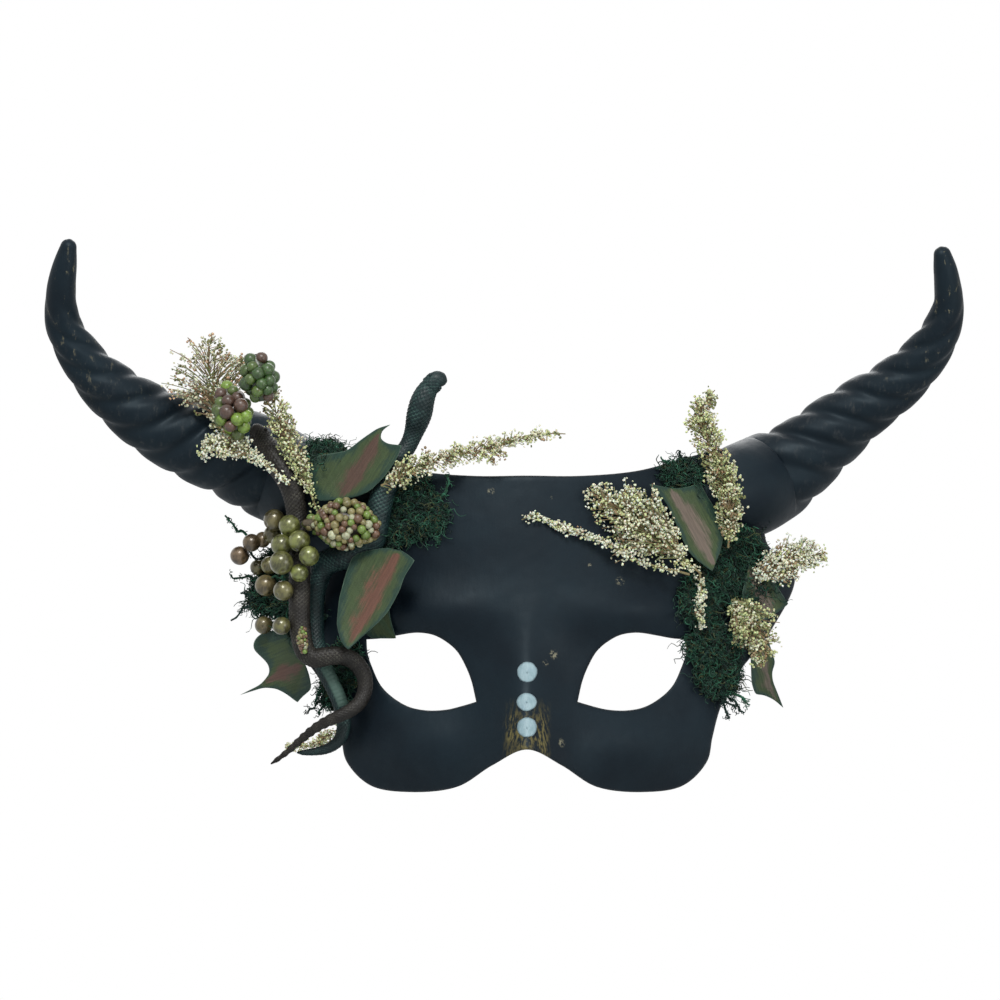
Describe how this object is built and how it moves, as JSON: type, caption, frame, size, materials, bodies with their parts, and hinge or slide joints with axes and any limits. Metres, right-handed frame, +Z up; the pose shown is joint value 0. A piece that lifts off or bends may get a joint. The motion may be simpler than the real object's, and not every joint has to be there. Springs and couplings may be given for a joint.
{
  "type": "masquerade half mask",
  "caption": "Black papier-mache masquerade half mask with two twisted horns, dressed with rubber snakes, fabric leaves, moss, pearly berries and dried flower sprigs",
  "frame": {"origin": "on the inside of the nose bridge, midway between the eye openings, where the mask rests on the wearer's nose", "axes": "+X across the face to the right as one looks at the front, +Y back towards the wearer, +Z up"},
  "size_m": [0.3468, 0.0919, 0.209],
  "materials": {
    "papier_mache": "matte black paint over paper pulp, rubbed thin on the brow and the horn tips, with an old-gold patch under the nose bridge",
    "armature_wire": "bright drawn steel wire, hidden in the paper",
    "eyelet_metal": "black-painted brass, slightly worn",
    "dot_paint": "thick satin grey-blue paint",
    "moss": "dry dark green curled fibres",
    "leaf_fabric": "pressed satin fabric, teal edges fading through olive to a pink-brown rib, fine veins",
    "teal_rubber": "soft rubber with raised scales, pale net and belly",
    "brown_rubber": "soft rubber with raised scales, grey-brown",
    "dried_flower": "matte cream and yellow-green tufts on thin stems",
    "green_bead": "satin beads, lime to dark green with brown ones between",
    "pearly_berry": "pearly olive and khaki lacquer with soft highlights",
    "pip": "small satin beads, cream, pink-brown and lime"
  },
  "bodies": {
    "root": {"berry_01": "pearly_berry", "berry_02": "pearly_berry", "berry_03": "pearly_berry", "berry_04": "pearly_berry", "berry_05": "pearly_berry", "berry_06": "pearly_berry", "berry_07": "pearly_berry", "berry_08": "pearly_berry", "berry_09": "pearly_berry", "berry_10": "pearly_berry", "berry_11": "pearly_berry", "berry_12": "pearly_berry", "berry_13": "pearly_berry", "berry_14": "pearly_berry", "berry_15": "pearly_berry", "berry_16": "pearly_berry", "berry_17": "pearly_berry", "green_cluster_lower": "green_bead", "green_cluster_upper": "green_bead", "horn_left": "papier_mache", "horn_right": "papier_mache", "horn_wire_left": "armature_wire", "horn_wire_right": "armature_wire", "leaf_brow_left": "leaf_fabric", "leaf_brow_right": "leaf_fabric", "leaf_cheek_left": "leaf_fabric", "leaf_cheek_right": "leaf_fabric", "leaf_temple_left": "leaf_fabric", "leaf_temple_left_back": "leaf_fabric", "leaf_temple_right": "leaf_fabric", "mask_shell": "papier_mache", "moss_brow_left": "moss", "moss_brow_right": "moss", "moss_cheek_left": "moss", "moss_cheek_right": "moss", "moss_horn_left": "moss", "moss_temple_left": "moss", "moss_temple_right": "moss", "nose_dot_lower": "dot_paint", "nose_dot_middle": "dot_paint", "nose_dot_upper": "dot_paint", "pip_cluster": "pip", "pip_sprig_left": "pip", "ribbon_eyelet_left": "eyelet_metal", "ribbon_eyelet_right": "eyelet_metal", "snake_brown": "brown_rubber", "snake_teal": "teal_rubber", "sprig_brow_left": "dried_flower", "sprig_chain_right": "dried_flower", "sprig_cheek_right": "dried_flower", "sprig_column_right": "dried_flower", "sprig_crown_right": "dried_flower", "sprig_lace_left": "dried_flower", "sprig_long_right": "dried_flower", "sprig_loop_left": "dried_flower", "sprig_tall_left": "dried_flower", "sprig_temple_right": "dried_flower", "sprig_white_left": "dried_flower"}
  },
  "joints": []
}
